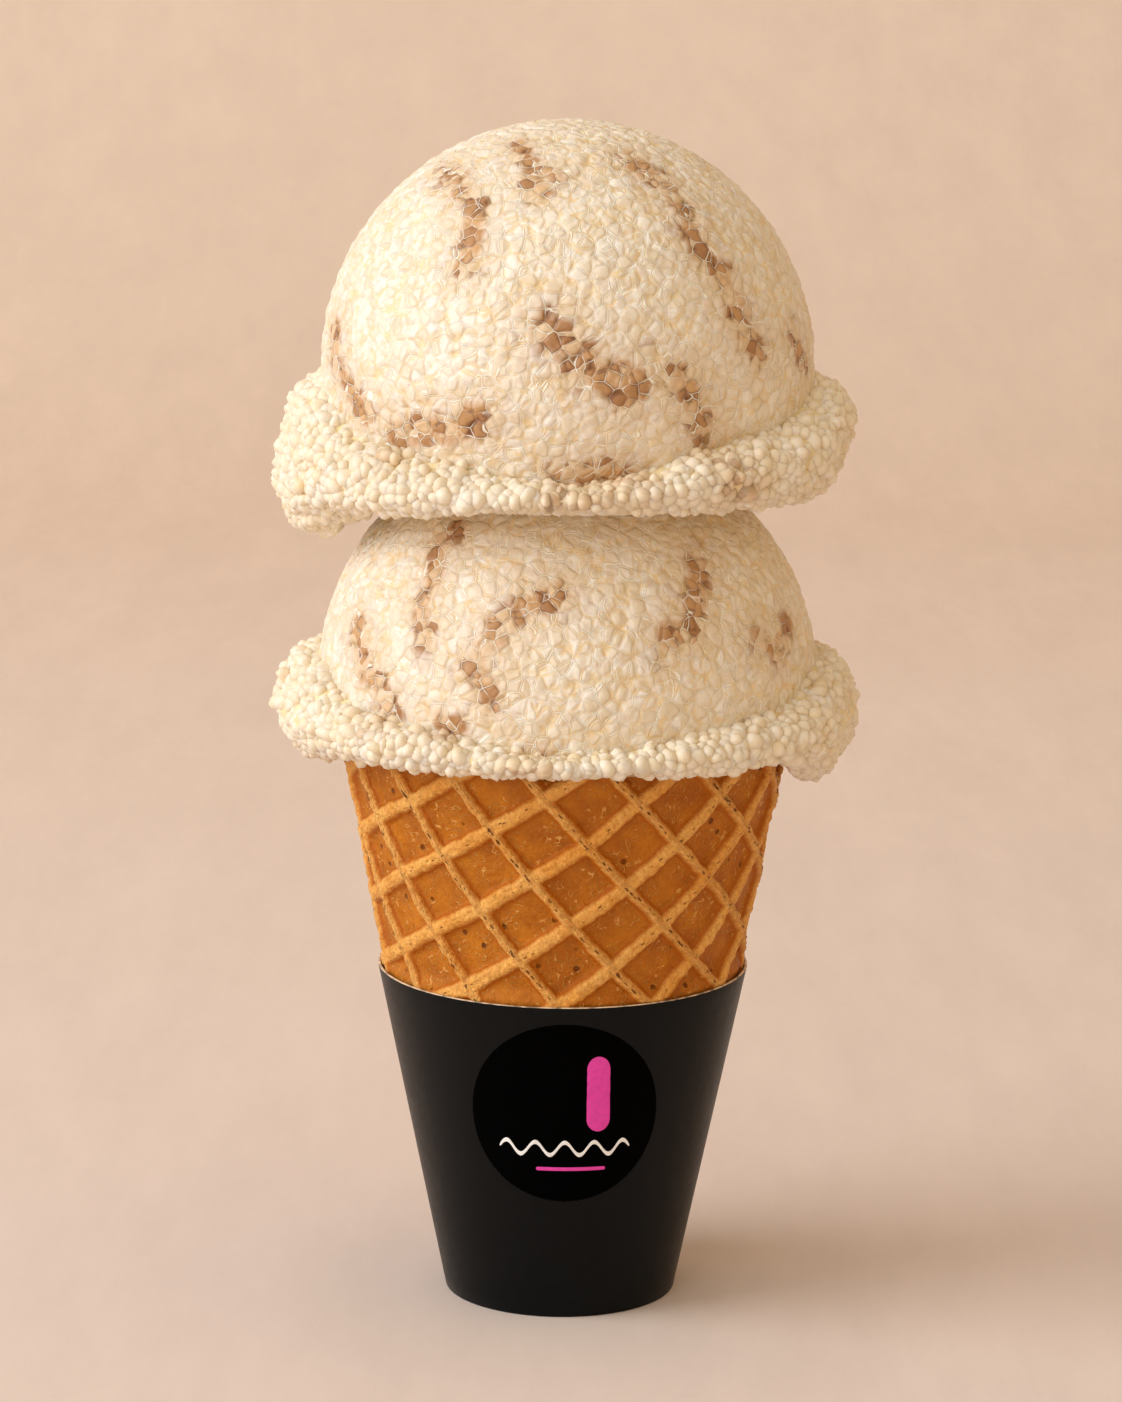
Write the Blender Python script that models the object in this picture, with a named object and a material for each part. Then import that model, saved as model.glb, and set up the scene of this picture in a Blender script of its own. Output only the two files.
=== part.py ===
"""Double scoop ice cream in a flat-bottomed waffle cone, standing in a short card sleeve.

Metres, +Z up, front towards -Y. The origin is the middle of the sleeve's flat underside.
A bearing is measured in degrees from the front, round by the right-hand side (+X).
Four solids: the card sleeve, the wafer cone, the lower scoop and the upper scoop.
"""

import math

import bmesh
import bpy
from mathutils import Vector

MM = 0.001
GAP = 0.3 * MM                  # air left between two solids that touch

# Card sleeve: a straight-sided cup
SLEEVE_HEIGHT = 44.4 * MM
SLEEVE_FOOT_RADIUS = 15.2 * MM
SLEEVE_RIM_RADIUS = 24.4 * MM
CARD = 0.4 * MM                 # thickness of the side
SLEEVE_FLOOR = 0.6 * MM

# Wafer cone: it follows the sleeve's side, then flares a little less above the rim
CONE_MOUTH = 75.5 * MM
CONE_FLARE = 0.19               # growth of the radius per unit of height above the sleeve
WAFER = 2.4 * MM                # thickness of the side
CONE_FLOOR = 2.5 * MM
WRAP_BEARING = 200.0            # where the rolled wafer ends in an overlap, at the back
WRAP_STEP = 0.8 * MM            # height of that overlap's edge
WRAP_ARC = 34.0                 # degrees over which the overlap rises

# Waffle grid, drawn on the flat round sheet before it is rolled
GRID_CORNER = (-2.53 * MM, 155.6 * MM)     # one crossing of the ridges, from the sheet's centre
GRID_ALONG = (7.02 * MM, 4.99 * MM)        # from a crossing to the next, along rising ridges
GRID_ACROSS = (5.35 * MM, -6.25 * MM)      # the same along falling ridges
RIDGE = 1.0 * MM                # width of a ridge's crest
BEVEL = 1.0 * MM                # width of each sloping side
POCKET_DEPTH = 1.1 * MM
GRID_REACH = 26                 # crossings looked at each way from the first one

# Scoops
LOWER_CENTRE = Vector((0.3, 0.0, 82.1)) * MM
LOWER_RADIUS = 32.5 * MM
UPPER_CENTRE = Vector((-0.1, 0.0, 123.4)) * MM
UPPER_RADIUS = 31.7 * MM
SEAT_RADIUS = 20.0 * MM         # where the upper scoop meets the lower one

# The ragged skirt that the scoop leaves round each ball, at a few bearings, in millimetres:
# bearing, top on the ball, height of the widest point, its reach, lowest edge, its radius
LOWER_SKIRT = (
    (0, 79.6, 78.2, 36.6, 76.4, 33.5),
    (45, 82.4, 79.0, 37.4, 75.6, 33.5),
    (90, 87.0, 79.3, 38.3, 69.6, 31.0),
    (135, 85.0, 79.0, 37.8, 73.0, 33.0),
    (180, 82.5, 78.4, 37.2, 74.4, 33.5),
    (225, 85.0, 78.8, 37.7, 73.4, 33.0),
    (270, 87.5, 79.2, 38.5, 72.0, 32.0),
    (315, 82.4, 79.0, 37.5, 75.4, 33.5),
)
UPPER_SKIRT = (
    (0, 113.4, 111.7, 35.8, 109.8, 32.5),
    (45, 118.0, 113.8, 36.8, 108.6, 32.0),
    (90, 122.4, 117.6, 37.6, 106.6, 30.0),
    (135, 119.5, 114.6, 37.0, 106.0, 31.0),
    (180, 116.5, 111.4, 36.4, 105.4, 31.5),
    (225, 119.5, 110.4, 37.2, 103.2, 31.5),
    (270, 123.0, 108.6, 38.0, 100.9, 31.5),
    (315, 116.4, 111.0, 36.8, 107.4, 32.0),
)

# Ruffles of a skirt's edge: swing, waves round the skirt, and where the wave starts
RUFFLES = ((0.25 * MM, 7, 0.6), (0.2 * MM, 11, 2.1))

# Mesh fineness
BEARINGS = 54                   # points round each turned solid
BALL_RINGS = 9
SKIRT_RINGS = 3                 # on each half of the skirt's roll
SEAT_RINGS = 3


def sleeve_radius(z):
    """Outer radius of the sleeve at a height."""
    return SLEEVE_FOOT_RADIUS + (SLEEVE_RIM_RADIUS - SLEEVE_FOOT_RADIUS) * z / SLEEVE_HEIGHT


def cone_radius(z):
    """Outer radius of the cone at a height, over the ridges."""
    inside_sleeve = sleeve_radius(min(z, SLEEVE_HEIGHT)) - CARD - GAP
    return inside_sleeve + CONE_FLARE * max(z - SLEEVE_HEIGHT, 0.0)


def cone_inner_radius(z):
    """Radius of the cone's smooth inside at a height."""
    return cone_radius(z) - WAFER


def wrap_rise(bearing):
    """How far the rolled overlap stands out at a bearing: a ramp that ends in a step."""
    before_edge = (WRAP_BEARING - bearing) % 360.0
    return WRAP_STEP * max(0.0, 1.0 - before_edge / WRAP_ARC)


def place(bearing, radius, z):
    """The point at a bearing, a radius from the vertical axis, and a height."""
    angle = math.radians(bearing)
    return Vector((radius * math.sin(angle), -radius * math.cos(angle), z))


def even_bearings():
    return [360.0 * k / BEARINGS for k in range(BEARINGS)]


def material(name, colour, roughness):
    """A plain Principled material."""
    made = bpy.data.materials.new(name)
    made.use_nodes = True
    shader = made.node_tree.nodes["Principled BSDF"]
    shader.inputs["Base Color"].default_value = (*colour, 1.0)
    shader.inputs["Roughness"].default_value = roughness
    shader.inputs["Metallic"].default_value = 0.0
    return made


def add_object(name, mesh_maker, finish=None):
    """Link a new object whose mesh is made by a bmesh, with its faces turned outwards."""
    mesh = bpy.data.meshes.new(name)
    mesh_maker.normal_update()
    bmesh.ops.recalc_face_normals(mesh_maker, faces=mesh_maker.faces)
    mesh_maker.to_mesh(mesh)
    mesh_maker.free()
    thing = bpy.data.objects.new(name, mesh)
    bpy.context.scene.collection.objects.link(thing)
    if finish:
        mesh.materials.append(finish)
        mesh.shade_smooth()
        mesh.set_sharp_from_angle(angle=math.radians(35.0))
    return thing


def turned_solid(profiles, top, bottom):
    """A closed bmesh from one profile of points for each bearing, capped by two poles."""
    made = bmesh.new()
    columns = [[made.verts.new(point) for point in profile] for profile in profiles]
    start = made.verts.new(top)
    end = made.verts.new(bottom)
    for column, following in zip(columns, columns[1:] + columns[:1]):
        made.faces.new((start, column[0], following[0]))
        for k in range(len(column) - 1):
            made.faces.new((column[k], column[k + 1], following[k + 1], following[k]))
        made.faces.new((column[-1], end, following[-1]))
    return made


def make_sleeve(finish):
    """The card cup, with a flat closed floor."""
    wall = [
        (SLEEVE_FOOT_RADIUS, 0.0),
        (SLEEVE_RIM_RADIUS, SLEEVE_HEIGHT),
        (SLEEVE_RIM_RADIUS - CARD, SLEEVE_HEIGHT),
        (sleeve_radius(SLEEVE_FLOOR) - CARD, SLEEVE_FLOOR),
    ]
    profiles = [[place(b, r, z) for r, z in wall] for b in even_bearings()]
    solid = turned_solid(profiles, (0.0, 0.0, 0.0), (0.0, 0.0, SLEEVE_FLOOR))
    return add_object("sleeve", solid, finish)


def cone_profile(bearing):
    """Outer and inner side of the rolled wafer at a bearing, from its foot to its inner floor."""
    foot = SLEEVE_FLOOR + GAP
    rise = wrap_rise(bearing)
    free_foot = SLEEVE_HEIGHT + 2.0 * WRAP_STEP     # the overlap is pressed flat in the sleeve
    outer = [(cone_radius(foot), foot), (cone_radius(SLEEVE_HEIGHT), SLEEVE_HEIGHT),
             (cone_radius(free_foot) + rise, free_foot), (cone_radius(CONE_MOUTH) + rise, CONE_MOUTH)]
    inner = [(cone_inner_radius(CONE_MOUTH), CONE_MOUTH),
             (cone_inner_radius(SLEEVE_HEIGHT), SLEEVE_HEIGHT),
             (cone_inner_radius(foot + CONE_FLOOR), foot + CONE_FLOOR)]
    return [place(bearing, r, z) for r, z in outer + inner]


def sheet_to_cone(u, v, lift):
    """Roll a point of the flat sheet on to the cone, lifted off its surface.

    The sheet's centre is the tip that the cone's straight upper side points to. Returns the
    bearing and the place; bearings run from just past the overlap's edge round to it.
    """
    slope = math.atan(CONE_FLARE)
    tip = SLEEVE_HEIGHT - cone_radius(SLEEVE_HEIGHT) / CONE_FLARE
    bearing = math.degrees(math.atan2(u, v) / math.sin(slope))
    z = tip + math.hypot(u, v) * math.cos(slope)
    return bearing, place(bearing, cone_radius(z) + wrap_rise(bearing % 360.0) + lift, z)


def pocket_face(column, row, margin, lift):
    """The rolled corners of one pocket, set in from the grid lines by a margin, then its middle."""
    pitch = 0.5 * (math.hypot(*GRID_ALONG) + math.hypot(*GRID_ACROSS))
    near = margin / pitch
    far = 1.0 - near
    points = []
    for along, across in ((near, near), (far, near), (far, far), (near, far), (0.5, 0.5)):
        u = GRID_CORNER[0] + (column + along) * GRID_ALONG[0] + (row + across) * GRID_ACROSS[0]
        v = GRID_CORNER[1] + (column + along) * GRID_ALONG[1] + (row + across) * GRID_ACROSS[1]
        points.append(sheet_to_cone(u, v, lift))
    return points


def pocket_fits(corners):
    """Whether a pocket stays clear of the mouth, the foot and the overlap's edge."""
    edge_clearance = 3.0        # degrees
    for bearing, point in corners:
        if not SLEEVE_FLOOR + GAP + CONE_FLOOR < point.z < CONE_MOUTH - RIDGE:
            return False
        if not WRAP_BEARING - 360.0 + edge_clearance < bearing < WRAP_BEARING - edge_clearance:
            return False
    return True


def make_pocket_cutter():
    """One mesh of tapered blocks, one for each pocket of the waffle grid."""
    made = bmesh.new()
    block_top = 0.6 * MM        # above the ridges, so that a flat block clears the round side
    floor_margin = 0.5 * RIDGE + BEVEL
    top_margin = 0.5 * RIDGE - BEVEL * block_top / POCKET_DEPTH
    for column in range(-GRID_REACH, GRID_REACH):
        for row in range(-GRID_REACH, GRID_REACH):
            if not pocket_fits(pocket_face(column, row, 0.5 * RIDGE, 0.0)):
                continue
            floor = [made.verts.new(p) for _, p in pocket_face(column, row, floor_margin, -POCKET_DEPTH)]
            top = [made.verts.new(p) for _, p in pocket_face(column, row, top_margin, block_top)]
            for k in range(4):
                after = (k + 1) % 4
                made.faces.new((floor[k], floor[after], floor[4]))
                made.faces.new((top[k], top[after], top[4]))
                made.faces.new((floor[k], floor[after], top[after], top[k]))
    cutter = add_object("pocket_cutter", made)
    cutter.hide_render = True
    cutter.display_type = "WIRE"
    return cutter


def make_cone(finish):
    """The rolled wafer with its waffle pockets sunk in the outside."""
    edge_width = 0.8            # degrees between the top and the foot of the overlap's step
    bearings = sorted(even_bearings() + [WRAP_BEARING + edge_width])
    profiles = [cone_profile(bearing) for bearing in bearings]
    foot = SLEEVE_FLOOR + GAP
    solid = turned_solid(profiles, (0.0, 0.0, foot), (0.0, 0.0, foot + CONE_FLOOR))
    cone = add_object("cone", solid, finish)
    cut = cone.modifiers.new("waffle", "BOOLEAN")
    cut.operation = "DIFFERENCE"
    cut.solver = "EXACT"
    cut.object = make_pocket_cutter()
    return cone


def skirt_at(stations, bearing):
    """A skirt's five sizes at a bearing, eased between the two nearest stations."""
    for here, there in zip(stations, stations[1:] + stations[:1]):
        span = (there[0] - here[0]) % 360.0
        past = (bearing - here[0]) % 360.0
        if past < span:
            ease = 0.5 - 0.5 * math.cos(math.pi * past / span)
            return [(a + (b - a) * ease) * MM for a, b in zip(here[1:], there[1:])]
    raise ValueError("the stations do not go all the way round")


def ruffle(bearing):
    """The uneven in-and-out of a skirt's edge."""
    angle = math.radians(bearing)
    return sum(swing * math.sin(waves * angle + start) for swing, waves, start in RUFFLES)


def quarter_arc(centre, start_height, reach, rising):
    """Radius and height along a quarter ellipse, from its tip to its widest point or back."""
    points = []
    for k in range(SKIRT_RINGS):
        turn = 0.5 * math.pi * (k + 1) / SKIRT_RINGS
        if rising:
            turn = 0.5 * math.pi - turn
            points.append((centre[0] + reach * math.cos(turn), centre[1] + start_height * math.sin(turn)))
        else:
            points.append((centre[0] + reach * math.cos(turn), centre[1] - start_height * math.sin(turn)))
    return points


def ball_and_skirt(centre, radius, stations, bearing):
    """Points from near the ball's top down over the skirt's roll to its lowest edge."""
    top, widest, reach, low, low_radius = skirt_at(stations, bearing)
    reach += ruffle(bearing)
    crease_angle = math.acos((top - centre.z) / radius)
    crease_radius = radius * math.sin(crease_angle)
    points = []
    for k in range(1, BALL_RINGS + 1):
        turn = crease_angle * k / BALL_RINGS
        points.append((radius * math.sin(turn), centre.z + radius * math.cos(turn)))
    upper_roll = quarter_arc((crease_radius, widest), top - widest, reach - crease_radius, True)
    lower_roll = quarter_arc((low_radius, widest), widest - low, reach - low_radius, False)
    offset = Vector((centre.x, centre.y, 0.0))
    return [place(bearing, r, z) + offset for r, z in points + upper_roll + lower_roll]


def make_lower_scoop(finish):
    """Ball and skirt that lap over the cone's mouth, and the ice cream that fills the cone."""
    seat = CONE_MOUTH + GAP
    lap = 0.5 * MM              # how far the ice cream hangs over the mouth at the least
    plug_foot = SLEEVE_FLOOR + GAP + CONE_FLOOR + GAP
    profiles = []
    for bearing in even_bearings():
        profile = ball_and_skirt(LOWER_CENTRE, LOWER_RADIUS, LOWER_SKIRT, bearing)
        lip = min(profile[-1].z + lap, CONE_MOUTH - lap)
        clear = wrap_rise(bearing) + GAP
        inner = [(cone_radius(lip) + clear, lip), (cone_radius(seat) + clear, seat),
                 (cone_inner_radius(CONE_MOUTH) - GAP, seat),
                 (cone_inner_radius(SLEEVE_HEIGHT) - GAP, SLEEVE_HEIGHT),
                 (cone_inner_radius(plug_foot) - GAP, plug_foot)]
        profiles.append(profile + [place(bearing, r, z) for r, z in inner])
    top = LOWER_CENTRE + Vector((0.0, 0.0, LOWER_RADIUS))
    return add_object("scoop_lower", turned_solid(profiles, top, (0.0, 0.0, plug_foot)), finish)


def make_upper_scoop(finish):
    """Ball and skirt pressed down on the lower ball, whose shape its underside takes."""
    hollow = LOWER_RADIUS + GAP
    seat_angle = math.asin(SEAT_RADIUS / hollow)
    centre = Vector((LOWER_CENTRE.x, LOWER_CENTRE.y, 0.0))
    profiles = []
    for bearing in even_bearings():
        profile = ball_and_skirt(UPPER_CENTRE, UPPER_RADIUS, UPPER_SKIRT, bearing)
        for k in range(SEAT_RINGS):
            turn = seat_angle * (1.0 - k / SEAT_RINGS)
            height = LOWER_CENTRE.z + hollow * math.cos(turn)
            profile.append(place(bearing, hollow * math.sin(turn), height) + centre)
        profiles.append(profile)
    top = UPPER_CENTRE + Vector((0.0, 0.0, UPPER_RADIUS))
    bottom = LOWER_CENTRE + Vector((0.0, 0.0, hollow))
    return add_object("scoop_upper", turned_solid(profiles, top, bottom), finish)


def main():
    for thing in list(bpy.data.objects):
        bpy.data.objects.remove(thing)
    card = material("black card", (0.012, 0.012, 0.013), 0.45)
    wafer = material("baked wafer", (0.62, 0.28, 0.07), 0.6)
    cream = material("cream", (0.88, 0.76, 0.55), 0.5)
    make_sleeve(card)
    make_cone(wafer)
    make_lower_scoop(cream)
    make_upper_scoop(cream)


main()
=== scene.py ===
"""Looks of the double scoop ice cream cone in its card sleeve.

Metres, +Z up, front towards -Y, as in the CAD. Bearings are degrees from the front (-Y)
round by the right-hand side (+X); latitudes are degrees above a ball's equator.
"""

import math

import bmesh
import bpy
import numpy as np
from mathutils import Matrix, Vector, noise
from mathutils.bvhtree import BVHTree
from mathutils.kdtree import KDTree


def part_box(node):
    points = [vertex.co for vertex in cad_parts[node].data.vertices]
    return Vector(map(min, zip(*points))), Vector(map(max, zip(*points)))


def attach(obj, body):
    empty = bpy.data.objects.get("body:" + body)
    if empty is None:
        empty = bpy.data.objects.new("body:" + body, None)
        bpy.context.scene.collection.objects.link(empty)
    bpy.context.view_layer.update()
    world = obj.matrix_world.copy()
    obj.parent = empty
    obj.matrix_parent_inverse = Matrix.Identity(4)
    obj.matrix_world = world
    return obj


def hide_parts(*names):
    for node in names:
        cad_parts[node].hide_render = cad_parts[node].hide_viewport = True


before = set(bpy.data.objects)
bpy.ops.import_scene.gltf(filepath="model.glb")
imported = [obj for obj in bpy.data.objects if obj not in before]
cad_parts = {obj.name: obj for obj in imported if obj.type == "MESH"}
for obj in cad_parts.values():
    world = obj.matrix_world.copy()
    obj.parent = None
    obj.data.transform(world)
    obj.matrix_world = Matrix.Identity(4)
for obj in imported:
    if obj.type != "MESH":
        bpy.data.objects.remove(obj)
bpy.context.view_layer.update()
MM = 0.001

# ---------------------------------------------------------------- sizes

# The two balls: their tops come from their nodes' boxes
LOWER_RADIUS = 32.5 * MM
UPPER_RADIUS = 31.7 * MM
LOWER_CENTRE = Vector((0.3 * MM, 0.0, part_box("scoop_lower")[1].z - LOWER_RADIUS))
UPPER_CENTRE = Vector((-0.1 * MM, 0.0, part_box("scoop_upper")[1].z - UPPER_RADIUS))

# Grains: the ones packed into the balls' surfaces and the round beads of the skirts
GRAIN_PITCH = 1.65 * MM
GRAIN_FALL = 0.13 * MM          # how far a grain falls to where it meets the next one
GRAIN_RISE = 0.03 * MM          # how uneven the grains' heights are
GRAIN_TILT = 0.11               # how much a grain leans, as rise over run
NET_FREQUENCY = 125             # cuts along each side of the icosahedron under a ball's net
BURIED_DEPTH = 1.5 * MM         # a ball's surface this deep inside the scoop is left out
BEAD_RADIUS = 1.16 * MM
BEAD_PITCH = 1.28 * MM
BEAD_TRIES = 15.0               # places tried for each square of the pitch
BEAD_FACING = 1.6 * MM          # reach of the smoothing of the way a bead faces
BALL_CORE_DEPTH = 0.30 * MM     # how far the smooth body lies under the balls' grains
SKIRT_CORE_DEPTH = 0.95 * MM    # and under the skirts' beads

# Sleeve and cone, from their nodes' boxes
SLEEVE_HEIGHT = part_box("sleeve")[1].z
SLEEVE_RIM_RADIUS = 24.4 * MM
SLEEVE_FOOT_RADIUS = 15.2 * MM
CARD = 0.4 * MM                 # the card's thickness
SLEEVE_FLOOR = 0.6 * MM
LAP_STEP = 0.35 * MM            # how far the card's glued lap stands out at the back
CONE_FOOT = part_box("cone")[0].z
CONE_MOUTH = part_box("cone")[1].z
CONE_FLARE = 0.19               # growth of the radius with height above the sleeve
CONE_FLOOR = 2.5 * MM
CONE_COLUMNS = 620              # fineness of the wafer's mesh round the cone
CONE_ROW = 0.27 * MM            # and up it
GAP = 0.3 * MM                  # between the sleeve and the wafer
WAFER = 2.4 * MM                # the wafer's thickness
WRAP_BEARING = 200.0            # where the rolled sheet's outer edge ends
WRAP_STEP = 0.8 * MM            # how far that edge stands out
WRAP_ARC = 34.0                 # degrees over which the step rises

# Waffle grid on the flat round sheet, as in the CAD
GRID_CORNER = Vector((-2.53, 155.6)) * MM
GRID_ALONG = Vector((7.02, 4.99)) * MM
GRID_ACROSS = Vector((5.35, -6.25)) * MM
FALLING_RIDGE = 0.55 * MM       # width of a falling ridge's crest
RISING_RIDGE = 1.15 * MM
BEVEL = 0.95 * MM               # width of each of a ridge's slopes
POCKET_DEPTH = 1.15 * MM
RISING_HEIGHT = 0.88            # height of the rising ridges, against the falling ones

# Brown streaks on each ball: points as (bearing, latitude), and half their width in degrees
UPPER_STREAKS = (
    (((-62, 55), (-46, 52), (-32, 46), (-29, 38), (-28, 30)), 3.6),
    (((-33, 68), (-15, 59), (-4, 56)), 3.4),
    (((-15, 59), (-12, 50)), 3.4),
    (((30, 63), (36, 55), (40, 45), (38, 34), (42, 28), (44, 17), (49, 10)), 4.2),
    (((66, 10), (72, 3)), 3.2),
    (((-5, 17), (1, 10), (7, 6), (16, 5)), 4.8),
    (((7, 6), (13, 1)), 3.6),
    (((26, 5), (29, -1), (32, -8), (36, -14)), 4.0),
    (((-71, 11), (-67, 4), (-60, -2), (-53, -6)), 3.8),
    (((-42, -10), (-34, -8), (-27, -8), (-19, -4)), 4.2),
    (((-2, -18), (7, -16), (15, -18)), 3.6),
    (((33, -19), (41, -19)), 2.6),
)
LOWER_STREAKS = (
    (((-37, 46), (-41, 40), (-38, 34), (-39, 26), (-36, 18)), 3.2),
    (((-3, 30), (-10, 28), (-15, 24), (-18, 19), (-22, 13), (-17, 10), (-17, 6)), 3.8),
    (((39, 36), (34, 29), (31, 22), (24, 19)), 4.0),
    (((-60, 18), (-55, 11), (-49, 7), (-43, 1)), 3.8),
    (((64, 18), (57, 13), (50, 17)), 3.4),
    (((-29, 1), (-25, 0)), 2.6),
    (((-9, -6), (-6, -6)), 2.6),
)
BACK_TURN = 163.0               # the back repeats the front's streaks, turned by this

# Label on the sleeve's front: middle, radius, and how far it and its print stand off the card
LABEL_X = 0.5 * MM
LABEL_Z = 29.5 * MM
LABEL_RADIUS = 12.6 * MM
LABEL_LIFT = 0.06 * MM
PRINT_LIFT = 0.09 * MM

# Lamps: name, place, size across and watts; all look at the middle of the object
LAMPS = (
    ("key", (-2.0, -0.6, 1.15), 1.9, 40.0),
    ("front", (-0.9, -2.1, 0.8), 1.8, 11.0),
    ("top", (-0.3, -0.2, 2.1), 1.5, 4.5),
)
LIT_MIDDLE = (0.0, 0.0, 0.09)
WARM_SIDE = (0.86, 0.0, -0.5)   # the way, to the right and down, that the world's light is warm
WARM_LIGHT = (0.82, 0.53, 0.20, 1.0)
COOL_LIGHT = (0.42, 0.43, 0.44, 1.0)


def srgb(red, green, blue, alpha=1.0):
    """An sRGB colour, 0 to 255, as linear values."""
    linear = []
    for value in (red, green, blue):
        value /= 255.0
        linear.append(value / 12.92 if value <= 0.04045 else ((value + 0.055) / 1.055) ** 2.4)
    return (*linear, alpha)


def place(bearing, radius, z):
    """The point at a bearing, a radius from the vertical axis, and a height."""
    angle = math.radians(bearing)
    return Vector((radius * math.sin(angle), -radius * math.cos(angle), z))


# ---------------------------------------------------------------- meshes from arrays

def mesh_object(name, points, faces, material, **attributes):
    """A smooth-shaded object from arrays, with a float attribute for each keyword."""
    mesh = bpy.data.meshes.new(name)
    mesh.from_pydata([], [], [])
    points = np.asarray(points, dtype=np.float32)
    faces = np.asarray(faces, dtype=np.int32)
    corners = faces.shape[1]
    mesh.vertices.add(len(points))
    mesh.vertices.foreach_set("co", points.ravel())
    mesh.loops.add(faces.size)
    mesh.loops.foreach_set("vertex_index", faces.ravel())
    mesh.polygons.add(len(faces))
    mesh.polygons.foreach_set("loop_start", np.arange(0, faces.size, corners, dtype=np.int32))
    mesh.polygons.foreach_set("use_smooth", np.full(len(faces), True))
    mesh.update(calc_edges=True)
    mesh.validate()
    for key, values in attributes.items():
        layer = mesh.attributes.new(key, "FLOAT", "POINT")
        layer.data.foreach_set("value", np.asarray(values, dtype=np.float32))
    mesh.materials.append(material)
    thing = bpy.data.objects.new(name, mesh)
    bpy.context.scene.collection.objects.link(thing)
    return thing


def grid_faces(rows, columns, closed):
    """Quads between neighbouring points of a grid whose rows may close round."""
    row = np.arange(rows - 1)[:, None]
    column = np.arange(columns if closed else columns - 1)[None, :]
    after = (column + 1) % columns
    quads = (row * columns + column, (row + 1) * columns + column,
             (row + 1) * columns + after, row * columns + after)
    return np.stack([q.ravel() for q in quads], axis=1)


def finish_piece(thing, slot, *replaced):
    """Ride on the only body and stand for CAD nodes, hiding them; slot is not used."""
    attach(thing, "root")
    if replaced:
        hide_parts(*replaced)


# ---------------------------------------------------------------- shader helpers

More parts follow.
